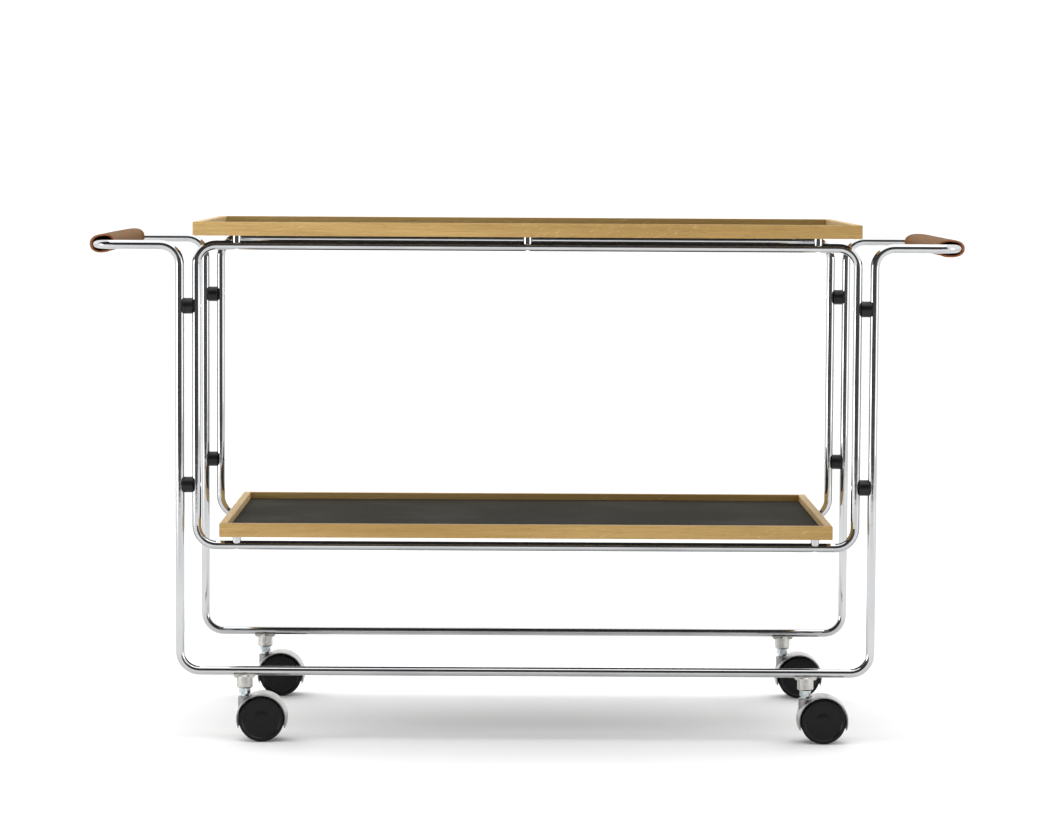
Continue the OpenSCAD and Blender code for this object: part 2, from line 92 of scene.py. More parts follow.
class Nodes:
    """A node tree, with short calls for what the finishes and the dome need."""

    def __init__(self, tree: bpy.types.NodeTree) -> None:
        """Takes a node tree and empties it.

        Args:
            tree: The tree to fill.
        """
        self.tree = tree
        tree.nodes.clear()

    def add(self, kind: str, **values: Any) -> bpy.types.Node:
        """Adds a node and fills its inputs.

        Args:
            kind: Blender's name for the kind of node.
            values: Inputs, with the spaces in their names written as underscores.

        Returns:
            The new node.
        """
        made = self.tree.nodes.new(kind)
        self.fill(made, **values)
        return made

    def fill(self, made: bpy.types.Node, **values: Any) -> None:
        """Fills inputs of a node, with the spaces in their names written as underscores."""
        for name, value in values.items():
            self.plug(made.inputs[name.replace("_", " ")], value)

    def plug(self, socket: Socket, value: Any) -> None:
        """Links a socket to an output, or sets it to a constant.

        Args:
            socket: The input to fill.
            value: An output socket, a number, or a colour.
        """
        if isinstance(value, Socket):
            self.tree.links.new(value, socket)
        elif isinstance(value, tuple) and socket.type == "RGBA":
            socket.default_value = (*value, 1.0)
        else:
            socket.default_value = value

    def ramp(self, value: Socket, low: float, high: float, start: float = 0.0, end: float = 1.0) -> Socket:
        """Carries a value from one range to another, held at both ends.

        Args:
            value: The value to carry over.
            low: Value that becomes the start.
            high: Value that becomes the end.
            start: Result at the low value.
            end: Result at the high value.

        Returns:
            The result's socket.
        """
        made = self.add(
            "ShaderNodeMapRange", Value=value, From_Min=low, From_Max=high, To_Min=start, To_Max=end
        )
        made.interpolation_type = "SMOOTHSTEP"
        return made.outputs["Result"]

    def blend(self, share: Any, first: Any, second: Any) -> Socket:
        """Mixes two colours.

        Args:
            share: Share of the second colour.
            first: First colour.
            second: Second colour.

        Returns:
            The mixed colour's socket.
        """
        made = self.add("ShaderNodeMix")
        made.data_type = "RGBA"
        for index, value in ((MIX_SHARE, share), (MIX_FIRST, first), (MIX_SECOND, second)):
            self.plug(made.inputs[index], value)
        return made.outputs[MIX_RESULT]


class Graph(Nodes):
    """The node tree of one material, which ends in a surface shader."""

    def __init__(self, name: str) -> None:
        """Starts an empty material with a surface shader.

        Args:
            name: Name of the material.
        """
        self.material = bpy.data.materials.new(name)
        self.material.use_nodes = True
        super().__init__(self.material.node_tree)
        self.shader = self.add("ShaderNodeBsdfPrincipled")
        self.add("ShaderNodeOutputMaterial", Surface=self.shader.outputs["BSDF"])

    def surface(self, **values: Any) -> None:
        """Fills inputs of the surface shader."""
        self.fill(self.shader, **values)

    def place(self, scale: Point3 = (1.0, 1.0, 1.0)) -> Socket:
        """Coordinates on the object in metres, stretched along each axis."""
        return self.stretch(self.add("ShaderNodeTexCoord").outputs["Object"], scale)

    def stretch(self, where: Socket, scale: Point3) -> Socket:
        """Coordinates stretched along each axis."""
        return self.add("ShaderNodeMapping", Vector=where, Scale=scale).outputs["Vector"]

    def turn(self, where: Socket, angles: Point3) -> Socket:
        """Coordinates turned about each axis."""
        return self.add("ShaderNodeMapping", Vector=where, Rotation=angles).outputs["Vector"]

    def axis(self, where: Socket, name: str) -> Socket:
        """One axis, X, Y or Z, of some coordinates."""
        return self.add("ShaderNodeSeparateXYZ", Vector=where).outputs[name]

    def noise(
        self, where: Socket, scale: float, detail: float = 2.0, rough: float = 0.5, bend: float = 0.0
    ) -> Socket:
        """Cloudy noise from about 0 to 1.

        Args:
            where: Coordinates to draw it on.
            scale: Clouds for each unit of the coordinates.
            detail: Number of finer layers.
            rough: Strength of the finer layers.
            bend: How much the noise bends itself.

        Returns:
            The noise's socket.
        """
        made = self.add(
            "ShaderNodeTexNoise", Vector=where, Scale=scale, Detail=detail, Roughness=rough, Distortion=bend
        )
        return made.outputs["Fac"]

    def cells(self, where: Socket, scale: float) -> Socket:
        """Distance to the borders of irregular cells.

        Args:
            where: Coordinates to draw them on.
            scale: Cells for each unit of the coordinates.

        Returns:
            The distance's socket.
        """
        made = self.add("ShaderNodeTexVoronoi")
        made.feature = "DISTANCE_TO_EDGE"
        self.fill(made, Vector=where, Scale=scale)
        return made.outputs["Distance"]

    def sum(self, kind: str, first: Any, second: Any) -> Socket:
        """A sum of two values.

        Args:
            kind: The operation, as Blender's maths node names it, such as MULTIPLY.
            first: Its first value.
            second: Its second value.

        Returns:
            The result's socket.
        """
        made = self.add("ShaderNodeMath")
        made.operation = kind
        for socket, value in zip(made.inputs, (first, second)):
            self.plug(socket, value)
        return made.outputs[0]

    def bump(self, height: Socket, depth: float, under: Any = None) -> Socket:
        """Relief on the surface.

        Args:
            height: Height from 0 to 1.
            depth: Depth of the relief in metres.
            under: A relief that this one lies on.

        Returns:
            The normal's socket.
        """
        made = self.add("ShaderNodeBump", Distance=depth, Height=height)
        if under is not None:
            self.fill(made, Normal=under)
        return made.outputs["Normal"]


# ---------------------------------------------------------------- finishes


@dataclass(frozen=True)
class Chrome:
    """Bright chromium plate on polished tube, with faint polishing marks and handling haze."""

    name: str = "bright_chrome"
    colour: Colour = (0.50, 0.505, 0.51)
    tarnish: Colour = (0.44, 0.445, 0.455)
    clean: float = 0.035
    hazy: float = 0.11

    def build(self) -> Material:
        """Builds the finish.

        Returns:
            Its material.
        """
        made = Graph(self.name)
        where = made.place()
        haze = made.noise(where, 38.0, 4.0, 0.62)
        specks = made.noise(where, 620.0, 2.0, 0.7)
        wear = made.ramp(made.sum("MULTIPLY", haze, specks), 0.20, 0.42, self.clean, self.hazy)
        tone = made.ramp(made.noise(where, 9.0, 3.0), 0.35, 0.7)
        made.surface(
            Base_Color=made.blend(tone, self.colour, self.tarnish),
            Metallic=1.0,
            Roughness=wear,
            Normal=made.bump(made.noise(where, 46.0, 2.0), 0.00006),
        )
        return made.material


@dataclass(frozen=True)
class Plated:
    """A plated metal with a cloudy, slightly rough surface, such as satin nickel or zinc."""

    name: str
    colour: Colour
    cloud: Colour
    smooth: float
    rough: float
    relief: float = 0.00003
    grain: float = 900.0

    def build(self) -> Material:
        """Builds the finish.

        Returns:
            Its material.
        """
        made = Graph(self.name)
        where = made.place()
        clouds = made.noise(where, 120.0, 5.0, 0.6)
        grain = made.noise(where, self.grain, 3.0, 0.65)
        stain = made.ramp(clouds, 0.38, 0.66)
        made.surface(
            Base_Color=made.blend(stain, self.colour, self.cloud),
            Metallic=1.0,
            Roughness=made.ramp(made.sum("ADD", clouds, grain), 0.75, 1.25, self.smooth, self.rough),
            Normal=made.bump(grain, self.relief, made.bump(clouds, self.relief * 2)),
        )
        return made.material


@dataclass(frozen=True)
class Oak:
    """Oiled solid oak: long fibres, open pores, slanted ray flecks, slow changes of tone, and painted shade
    that darkens the wood towards the right.
    """

    name: str
    grain: Grain
    pale: Colour = screen(203, 169, 106)
    deep: Colour = screen(170, 135, 74)
    pore: Colour = screen(120, 88, 46)
    ray: Colour = screen(221, 192, 134)
    ray_lean: float = math.radians(24)

    def stretch(self, along: float, across: float) -> Point3:
        """The scale that draws a pattern along the fibres.

        Args:
            along: Marks for each metre along the fibres.
            across: Marks for each metre across them.

        Returns:
            The scale along X, Y and Z.
        """
        if self.grain is Grain.ALONG_X:
            return along, across, across
        return across, along, across

    def flecks(self, made: Graph) -> Socket:
        """Thin pale flecks that cross the fibres at a low angle.

        Args:
            made: The finish's node tree.

        Returns:
            The strength of the flecks, from 0 to 1.
        """
        lean = (0.0, self.ray_lean, 0.0) if self.grain is Grain.ALONG_X else (self.ray_lean, 0.0, 0.0)
        turned = made.turn(made.place(), lean)
        long = made.stretch(turned, self.stretch(70.0, 520.0))
        thin = made.ramp(made.noise(long, 1.0, 2.0, 0.5, 0.35), 0.60, 0.70)
        patches = made.ramp(made.noise(made.place((5.0, 5.0, 5.0)), 1.0, 2.0), 0.46, 0.62)
        return made.sum("MULTIPLY", thin, patches)

    def build(self) -> Material:
        """Builds the finish.

        Returns:
            Its material.
        """
        made = Graph(self.name)
        where = made.place()
        tone = made.noise(made.place(self.stretch(1.6, 14.0)), 1.0, 3.0, 0.55)
        rings = made.noise(made.place(self.stretch(3.4, 190.0)), 1.0, 5.0, 0.62, 0.9)
        fibres = made.noise(made.place(self.stretch(30.0, 1500.0)), 1.0, 3.0, 0.6)
        pores = made.noise(made.place(self.stretch(110.0, 2600.0)), 1.0, 2.0, 0.5)
        pore_mask = made.ramp(pores, 0.60, 0.70)
        rays = self.flecks(made)
        # painted shade: the wood darkens towards +X, standing in for light that falls from the left
        shade_to_right = made.ramp(made.axis(where, "X"), -0.40, 0.45, 0.0, 0.38)
        colour = made.blend(made.ramp(tone, 0.32, 0.70, 0.0, 0.8), self.pale, self.deep)
        colour = made.blend(shade_to_right, colour, self.deep)
        colour = made.blend(made.ramp(rings, 0.40, 0.66, 0.0, 0.42), colour, self.deep)
        colour = made.blend(made.ramp(fibres, 0.36, 0.74, 0.0, 0.30), colour, self.pore)
        colour = made.blend(made.sum("MULTIPLY", pore_mask, 0.42), colour, self.pore)
        colour = made.blend(made.sum("MULTIPLY", rays, 0.50), colour, self.ray)
        relief = made.bump(fibres, 0.00007, made.bump(rings, 0.00010))
        smoothed = made.sum("SUBTRACT", fibres, made.sum("MULTIPLY", rays, 0.3))
        made.surface(
            Base_Color=colour,
            Roughness=made.ramp(smoothed, 0.2, 0.8, 0.46, 0.64),
            Specular_IOR_Level=0.32,
            Normal=made.bump(made.sum("SUBTRACT", 1.0, pore_mask), 0.00010, relief),
        )
        return made.material


@dataclass(frozen=True)
class SheetTop:
    """The dark matt sheet on the trays: finely mottled, with a soft grain and rubbed patches."""

    name: str = "dark_matt_sheet"
    colour: Colour = screen(52, 49, 40)
    light: Colour = screen(62, 59, 49)
    dark: Colour = screen(41, 38, 31)

    def build(self) -> Material:
        """Builds the finish.

        Returns:
            Its material.
        """
        made = Graph(self.name)
        where = made.place()
        patches = made.noise(where, 6.0, 4.0, 0.55)
        mottle = made.noise(where, 260.0, 5.0, 0.68)
        grain = made.noise(where, 1900.0, 2.0, 0.6)
        colour = made.blend(made.ramp(mottle, 0.38, 0.66, 0.0, 0.55), self.colour, self.light)
        colour = made.blend(made.ramp(mottle, 0.62, 0.34, 0.0, 0.45), colour, self.dark)
        colour = made.blend(made.ramp(patches, 0.40, 0.70, 0.0, 0.30), colour, self.light)
        made.surface(
            Base_Color=colour,
            Roughness=made.ramp(patches, 0.35, 0.70, 0.78, 0.66),
            Specular_IOR_Level=0.02,
            Normal=made.bump(grain, 0.00004, made.bump(mottle, 0.00005)),
        )
        return made.material


@dataclass(frozen=True)
class Hide:
    """Vegetable-tanned leather, seen from its grain side, with pores, creases, handled spots, and painted
    shade darkening its crease lines and grain valleys.
    """

    name: str = "tan_hide"
    base: Colour = screen(112, 79, 46)
    pale: Colour = screen(128, 92, 55)
    dark: Colour = screen(78, 50, 28)

    def build(self) -> Material:
        """Builds the finish.

        Returns:
            Its material.
        """
        made = Graph(self.name)
        where = made.place()
        streak = made.place((1.0, 0.16, 1.0))
        clouds = made.noise(where, 34.0, 4.0, 0.6)
        streaks = made.noise(streak, 210.0, 4.0, 0.62, 0.6)
        pebble = made.cells(where, 950.0)
        fine = made.noise(where, 2100.0, 3.0, 0.6)
        creases = made.ramp(made.cells(streak, 240.0), 0.0, 0.09)
        colour = made.blend(made.ramp(clouds, 0.34, 0.68), self.base, self.pale)
        colour = made.blend(made.ramp(streaks, 0.48, 0.72, 0.0, 0.55), colour, self.dark)
        # painted shade: the colour darkens in the valleys between the grain's pebbles and along the crease
        # lines
        colour = made.blend(made.ramp(pebble, 0.10, 0.0, 0.0, 0.35), colour, self.dark)
        colour = made.blend(made.ramp(creases, 1.0, 0.0, 0.0, 0.22), colour, self.dark)
        relief = made.bump(creases, 0.00012, made.bump(streaks, 0.00022))
        made.surface(
            Base_Color=colour,
            Roughness=made.ramp(made.sum("ADD", clouds, fine), 0.7, 1.3, 0.50, 0.72),
            Specular_IOR_Level=0.03,
            Normal=made.bump(made.ramp(pebble, 0.0, 0.14), 0.00006, made.bump(fine, 0.00004, relief)),
        )
        return made.material


@dataclass(frozen=True)
class CutEdge:
    """The cut edge of the leather: redder, fibrous and a little burnished."""

    name: str = "hide_cut_edge"
    base: Colour = screen(160, 94, 54)
    dark: Colour = screen(104, 56, 30)

    def build(self) -> Material:
        """Builds the finish.

        Returns:
            Its material.
        """
        made = Graph(self.name)
        where = made.place()
        fibres = made.noise(where, 1300.0, 4.0, 0.7, 0.8)
        clouds = made.noise(where, 120.0, 3.0)
        colour = made.blend(made.ramp(fibres, 0.42, 0.66, 0.0, 0.8), self.base, self.dark)
        made.surface(
            Base_Color=made.blend(made.ramp(clouds, 0.4, 0.7, 0.0, 0.35), colour, self.dark),
            Roughness=made.ramp(fibres, 0.3, 0.7, 0.45, 0.7),
            Specular_IOR_Level=0.4,
            Normal=made.bump(fibres, 0.00014),
        )
        return made.material


@dataclass(frozen=True)
class Thread:
    """Waxed linen thread with a visible twist."""

    name: str = "waxed_thread"
    base: Colour = screen(128, 88, 56)
    dark: Colour = screen(78, 50, 30)

    def build(self) -> Material:
        """Builds the finish.

        Returns:
            Its material.
        """
        made = Graph(self.name)
        twist = made.noise(made.place(), 2600.0, 2.0, 0.6, 0.5)
        made.surface(
            Base_Color=made.blend(made.ramp(twist, 0.42, 0.62), self.base, self.dark),
            Roughness=made.ramp(twist, 0.3, 0.7, 0.5, 0.75),
            Sheen_Weight=0.2,
            Normal=made.bump(twist, 0.00012),
        )
        return made.material


@dataclass(frozen=True)
class Moulded:
    """Black moulded plastic with a fine spark-eroded grain and dusty, scuffed patches."""

    name: str
    colour: Colour
    dust: Colour
    smooth: float
    rough: float
    gloss: float = 0.3
    grain: float = 1500.0

    def build(self) -> Material:
        """Builds the finish.

        Returns:
            Its material.
        """
        made = Graph(self.name)
        where = made.place()
        patches = made.noise(where, 60.0, 5.0, 0.65)
        grain = made.noise(where, self.grain, 2.0, 0.55)
        made.surface(
            Base_Color=made.blend(made.ramp(patches, 0.42, 0.78, 0.0, 0.5), self.colour, self.dust),
            Roughness=made.ramp(made.sum("ADD", patches, grain), 0.7, 1.3, self.smooth, self.rough),
            Specular_IOR_Level=self.gloss,
            Normal=made.bump(grain, 0.00003, made.bump(patches, 0.00004)),
        )
        return made.material


@dataclass(frozen=True)
class StudioFloor:
    """Pale seamless studio floor with the faintest unevenness."""

    name: str = "studio_floor"
    colour: Colour = (0.97, 0.97, 0.97)
    patch: Colour = (0.96, 0.96, 0.962)

    def build(self) -> Material:
        """Builds the finish.

        Returns:
            Its material.
        """
        made = Graph(self.name)
        where = made.place()
        made.surface(
            Base_Color=made.blend(made.ramp(made.noise(where, 1.4), 0.3, 0.7), self.colour, self.patch),
            Roughness=0.9,
            Specular_IOR_Level=0.0,
        )
        return made.material


def built(finish: Any) -> Any:
    """A field that builds its finish when the set of finishes is made."""
    return field(default_factory=finish.build)


@dataclass
class Finishes:
    """Every finish of the cart, built once and shared by the pieces that wear it."""

    chrome: Material = built(Chrome())
    nickel: Material = built(
        Plated("satin_nickel_plate", (0.48, 0.47, 0.45), (0.40, 0.39, 0.37), 0.20, 0.34)
    )
    casting: Material = built(
        Plated("satin_nickel_cast", (0.27, 0.266, 0.259), (0.225, 0.221, 0.214), 0.24, 0.34)
    )
    zinc: Material = built(Plated("zinc_plate", (0.56, 0.61, 0.62), (0.45, 0.50, 0.52), 0.18, 0.36))
    steel: Material = built(Plated("plain_steel", (0.50, 0.50, 0.50), (0.40, 0.40, 0.41), 0.25, 0.45))
    oak_long: Material = built(Oak("oak_along_x", Grain.ALONG_X))
    oak_end: Material = built(Oak("oak_along_y", Grain.ALONG_Y))
    plywood: Material = built(
        Oak(
            "dark_ply_face",
            Grain.ALONG_X,
            pale=screen(46, 43, 38),
            deep=screen(36, 33, 29),
            pore=screen(24, 22, 19),
            ray=screen(52, 48, 42),
        )
    )
    sheet: Material = built(SheetTop())
    hide: Material = built(Hide())
    # flesh side of the hide: its paler colour is partly its own and partly painted light that lifts the
    # shaded inside of the grip
    flesh: Material = built(
        Hide("hide_flesh_side", screen(176, 116, 68), screen(192, 134, 86), screen(140, 88, 48))
    )
    cut_edge: Material = built(CutEdge())
    thread: Material = built(Thread())
    spacer_black: Material = built(
        Moulded("spacer_black", screen(13, 13, 14), screen(22, 22, 22), 0.30, 0.46)
    )
    wheel_black: Material = built(
        Moulded("wheel_black", screen(11, 12, 13), screen(19, 19, 19), 0.20, 0.34, gloss=0.2)
    )


def dress(name: str, material: Material) -> bpy.types.Object:
    """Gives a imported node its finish, in every slot of its mesh.

    Args:
        name: The node's name.
        material: The finish.

    Returns:
        The node's object.
    """
    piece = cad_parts[name]
    if not piece.material_slots:
        piece.data.materials.append(material)
    for index in range(len(piece.data.materials)):
        piece.data.materials[index] = material
    LOG.info("dressed %s in %s", name, material.name)
    return piece


def link(name: str, mesh: bmesh.types.BMesh, materials: Iterable[Material]) -> bpy.types.Object:
    """Turns a finished mesh into an object of the scene, with outward normals.

    Args:
        name: Name of the piece.
        mesh: The mesh, which is used up.
        materials: Its finishes, in the order of its faces' indices.

    Returns:
        The new object.
    """
    bmesh.ops.recalc_face_normals(mesh, faces=mesh.faces)
    data = bpy.data.meshes.new(name)
    mesh.to_mesh(data)
    mesh.free()
    for material in materials:
        data.materials.append(material)
    piece = bpy.data.objects.new(name, data)
    bpy.context.scene.collection.objects.link(piece)
    LOG.info("built %s with %d faces", name, len(data.polygons))
    return piece


def skin(
    mesh: bmesh.types.BMesh, rings: list[Ring], closed: bool = False, caps: bool = True
) -> list[list[bmesh.types.BMFace]]:
    """Joins rings of equal length into a tube or a closed loop.

    Args:
        mesh: Mesh to add to.
        rings: Rings of points, each going the same way round.
        closed: True if the last ring joins the first.
        caps: True to close both ends with a face.

    Returns:
        The faces between each pair of rings, in the order of the rings' points.
    """
    corners = [[mesh.verts.new(point) for point in ring] for ring in rings]
    count = len(corners[0])
    spans = len(corners) if closed else len(corners) - 1
    faces = []
    for index in range(spans):
        here, there = corners[index], corners[(index + 1) % len(corners)]
        row = []
        for i in range(count):
            beside = (i + 1) % count
            row.append(mesh.faces.new((here[i], here[beside], there[beside], there[i])))
        faces.append(row)
    if caps and not closed:
        mesh.faces.new(corners[0][::-1])
        mesh.faces.new(corners[-1])
    return faces


# ---------------------------------------------------------------- tube frames


@dataclass
class TubeFrames:
    """Chromed outer and inner frames, the black spacers between them and what holds them."""

    finishes: Finishes

    def build(self) -> None:
        """Dresses the tubes, the spigots, the spacers and their fasteners."""
        for side in ("front", "back"):
            for ring in ("outer", "inner"):
                dress(f"{ring}_frame_{side}", self.finishes.chrome)
            for end in ("left", "right"):
                for level in ("lower", "upper"):
                    dress(f"spacer_{side}_{end}_{level}", self.finishes.spacer_black)
        for end in ("left", "right"):
            dress(f"{end}_handle_spigot", self.finishes.steel)
        dress("spacer_screws", self.finishes.zinc)
        dress("spacer_rivet_nuts", self.finishes.zinc)


# ---------------------------------------------------------------- trays


@dataclass
class Tray:
    """One oak tray: four mitred rims, a panel in their rebates and a dark sheet."""

    level: str
    finishes: Finishes
    edge_r: float = 0.7 * MM
    mitre_gap: float = 0.06 * MM
    mitre_ease: float = 0.25 * MM
    rebate_w: float = 5.0 * MM
    arc_steps: int = 4
    sharp: float = math.radians(40)

    def corner_arc(self, corner: Point2, into: Point2, out: Point2) -> list[Point2]:
        """Rounds one corner of the rim's section.

        Args:
            corner: The sharp corner.
            into: Unit direction from the corner back along the side before it.
            out: Unit direction from the corner on along the side after it.

        Returns:
            The points of the arc.
        """
        points = []
        for step in range(self.arc_steps + 1):
            angle = math.pi / 2 * step / self.arc_steps
            back, on = 1 - math.sin(angle), 1 - math.cos(angle)
            points.append((
                corner[0] + self.edge_r * (into[0] * back + out[0] * on),
                corner[1] + self.edge_r * (into[1] * back + out[1] * on),
            ))
        return points

    def section(self, thick: float, low: float, high: float, shelf: float) -> list[Point2]:
        """Section of a rim as (distance from its outer face, height), with eased edges and a rebate.

        Args:
            thick: Thickness of the rim.
            low: Height of its underside.
            high: Height of its top.
            shelf: Height of the rebate.

        Returns:
            The section's points, counterclockwise.
        """
        web = thick - self.rebate_w
        points = self.corner_arc((0, low), (0, 1), (1, 0))
        points += self.corner_arc((web, low), (-1, 0), (0, 1))
        points += [(web, shelf), (thick, shelf)]
        points += self.corner_arc((thick, high), (0, -1), (-1, 0))
        points += self.corner_arc((0, high), (1, 0), (0, -1))
        return points

    def rim(self, which: str) -> bpy.types.Object:
        """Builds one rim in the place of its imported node.

        Args:
            which: front, back, left or right.

        Returns:
            The rim's object.
        """
        node = f"{self.level}_tray_rim_{which}"
        low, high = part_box(node)
        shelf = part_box(f"{self.level}_tray_panel")[1].z
        along_x = which in ("front", "back")
        size = high - low
        length, thick = (size.x, size.y) if along_x else (size.y, size.x)
        middle = (low + high) / 2
        outward = -1 if which in ("front", "left") else 1
        outline = self.section(thick, low.z, high.z, shelf)
        centre = Vector((sum(v for v, _ in outline), sum(z for _, z in outline))) / len(outline)
        ease = self.mitre_ease
        stations = [(-1, 0.0, True), (-1, ease, False), (1, ease, False), (1, 0.0, True)]
        rings = []
        for end, back, eased in stations:
            ring = []
            for v, z in outline:
                if eased:
                    toward = (centre - Vector((v, z))).normalized() * ease
                    v, z = v + toward.x, z + toward.y
                along = end * (length / 2 - v - self.mitre_gap - back)
                across = outward * (thick / 2 - v)
                if along_x:
                    ring.append(Vector((middle.x + along, middle.y + across, z)))
                else:
                    ring.append(Vector((middle.x + across, middle.y + along, z)))
            rings.append(ring)
        mesh = bmesh.new()
        skin(mesh, rings)
        wood = self.finishes.oak_long if along_x else self.finishes.oak_end
        piece = link(f"{self.level}_tray_oak_rim_{which}", mesh, [wood])
        for face in piece.data.polygons:
            face.use_smooth = len(face.vertices) == 4
        piece.data.set_sharp_from_angle(angle=self.sharp)
        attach(piece, "frame")
        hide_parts(node)
        return piece

    def build(self) -> None:
        """Builds the rims and dresses the panel, the sheet, the posts and the screws."""
        for which in ("front", "back", "left", "right"):
            self.rim(which)
        dress(f"{self.level}_tray_panel", self.finishes.plywood)
        dress(f"{self.level}_tray_surface", self.finishes.sheet)
        dress(f"{self.level}_tray_posts", self.finishes.chrome)
        dress(f"{self.level}_tray_screws", self.finishes.zinc)


# ---------------------------------------------------------------- leather grips


@dataclass
class LeatherGrip:
    """A strip of thick leather, folded over a crossbar and sewn edge to edge along its inner side."""

    end: str
    finishes: Finishes
    width: float = 36.7 * MM
    height: float = 22.8 * MM
    lift: float = 0.0
    blunt: float = 2.35
    thick: float = 2.2 * MM
    seam_gap: float = 0.5 * MM
    seam_at: float = math.radians(212)
    edge_r: float = 0.7 * MM
    spacing: float = 1.3 * MM
    slice_l: float = 3.0 * MM
    wave: float = 0.35 * MM
    stitch_pitch: float = 6.5 * MM
    stitch_r: float = 0.45 * MM
    stitch_half: float = 2.6 * MM
    end_room: float = 7.0 * MM
    bend_r: float = 26.0 * MM
    bend_share: float = 0.7
    section_steps: int = 720
    stitch_steps: int = 8
    thread_sides: int = 6
    tuck: float = 0.35

    def __post_init__(self) -> None:
        """Reads the grip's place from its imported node."""
        self.low, self.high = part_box(f"{self.end}_grip")
        self.side = -1 if self.end == "left" else 1
        self.out_x = self.high.x if self.side > 0 else -self.low.x
        self.mid_z = (self.high.z + self.low.z) / 2
        tube_low, tube_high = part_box("inner_frame_front")
        self.tube_r = (tube_high.y - tube_low.y) / 2
        self.bend_start = -(tube_low.y + tube_high.y) / 2 - self.bend_r

    def outline(self, angle: float, inset: float) -> Vector:
        """A point of the section: a blunt oval, turned up a little about the crossbar.

        Args:
            angle: Angle round the oval, 0 at the outer fold and a quarter turn at the top.
            inset: Distance inside the leather's outer face.

        Returns:
            The point as (distance outwards, height above the crossbar's middle).
        """
        power = 2 / self.blunt
        half_w, half_h = self.width / 2 - inset, self.height / 2 - inset
        cos, sin = math.cos(angle), math.sin(angle)
        x = half_w * math.copysign(abs(cos) ** power, cos)
        z = half_h * math.copysign(abs(sin) ** power, sin)
        bar = Vector((self.out_x - self.thick - self.tube_r, 0.0))
        point = Vector((self.out_x - self.width / 2 + x, z)) - bar
        cos, sin = math.cos(self.lift), math.sin(self.lift)
        return bar + Vector((point.x * cos + point.y * sin, point.y * cos - point.x * sin))

    def midline(self) -> list[tuple[Vector, Vector]]:
        """The line halfway through the leather, as it goes round the section.

        It starts at the seam, goes over the top and the outer fold, and comes back under.

        Returns:
            Pairs of a point and its outward direction, evenly spaced.
        """
        steps, half = self.section_steps, self.thick / 2
        turn = -math.tau / steps
        around = [self.outline(self.seam_at + turn * step, half) for step in range(steps + 1)]
        path, run = [], 0.0
        total = sum((there - here).length for here, there in zip(around, around[1:]))
        for index, point in enumerate(around):
            before, after = around[max(0, index - 1)], around[min(steps, index + 1)]
            run += (point - around[max(0, index - 1)]).length
            along = (after - before).normalized()
            if self.seam_gap / 2 <= run <= total - self.seam_gap / 2:
                path.append((point, Vector((-along.y, along.x))))
        return self.resample(path)

    def resample(self, path: list[tuple[Vector, Vector]]) -> list[tuple[Vector, Vector]]:
        """Spaces the points of a path evenly.

        Args:
            path: Pairs of a point and its outward direction.

        Returns:
            The same path with even spacing.
        """
        lengths = [0.0]
        for (here, _), (there, _) in zip(path, path[1:]):
            lengths.append(lengths[-1] + (there - here).length)
        count = round(lengths[-1] / self.spacing)
        made, index = [], 0
        for step in range(count + 1):
            wanted = lengths[-1] * step / count
            while index < len(path) - 2 and lengths[index + 1] < wanted:
                index += 1
            span = max(lengths[index + 1] - lengths[index], 1e-9)
            share = min(1.0, max(0.0, (wanted - lengths[index]) / span))
            point = path[index][0].lerp(path[index + 1][0], share)
            made.append((point, path[index][1].lerp(path[index + 1][1], share).normalized()))
        return made

    def sway(self, y: float, along: float) -> float:
        """How far the leather stands in or out at a place, from handling.

        Args:
            y: Place along the grip.
            along: Place round the section, from 0 to 1.

        Returns:
            The distance outwards, in metres.
        """
        spot = Vector((y * 14.0, along * 2.6 + self.side * 7.0, 0.5))
        fine = Vector((y * 55.0, along * 7.0 + self.side * 3.0, 4.2))
        return self.wave * noise.noise(spot) + 0.3 * self.wave * noise.noise(fine)

    def world(self, point: Vector, y: float) -> Vector:
        """A point of the section at a place along the grip, in the cart's own axes.

        The ends turn inwards a little, where the crossbar under them starts to bend.

        Args:
            point: The point as (distance outwards, height above the crossbar's middle).
            y: Place along the grip.

        Returns:
            The point in space.
        """
        past = min(max(0.0, abs(y) - self.bend_start), self.bend_r)
        turned = self.bend_share * (self.bend_r - math.sqrt(self.bend_r ** 2 - past ** 2))
        return Vector((self.side * (point.x - turned), y, self.mid_z + point.y))

    def strip_ring(self, line: list[tuple[Vector, Vector]], y: float, pinch: float) -> Ring:
        """One slice through the folded strip: its outer face, an edge, its inner face and an edge.

        Args:
            line: The midline's points and outward directions.
            y: Place along the grip.
            pinch: How much of its thickness the strip loses here, which rounds its cut ends.

        Returns:
            The slice's points.
        """
        half = self.thick / 2 - pinch
        count = len(line) - 1
        outside, inside = [], []
        for index, (point, out) in enumerate(line):
            at_edge = min(index, count - index) == 0
            near = half - (self.edge_r if at_edge else 0)
            moved = point + out * self.sway(y, index / count)
            outside.append(self.world(moved + out * near, y))
            inside.append(self.world(moved - out * near, y))
        start = self.world(line[0][0] + self.edge_step(line[0], line[1]), y)
        finish = self.world(line[-1][0] + self.edge_step(line[-1], line[-2]), y)
        return [start, *outside, finish, *reversed(inside)]

    def edge_step(self, last: tuple[Vector, Vector], before: tuple[Vector, Vector]) -> Vector:
        """The small step from a strip's last point to the middle of its rounded edge."""
        return (last[0] - before[0]).normalized() * self.seam_gap * self.tuck

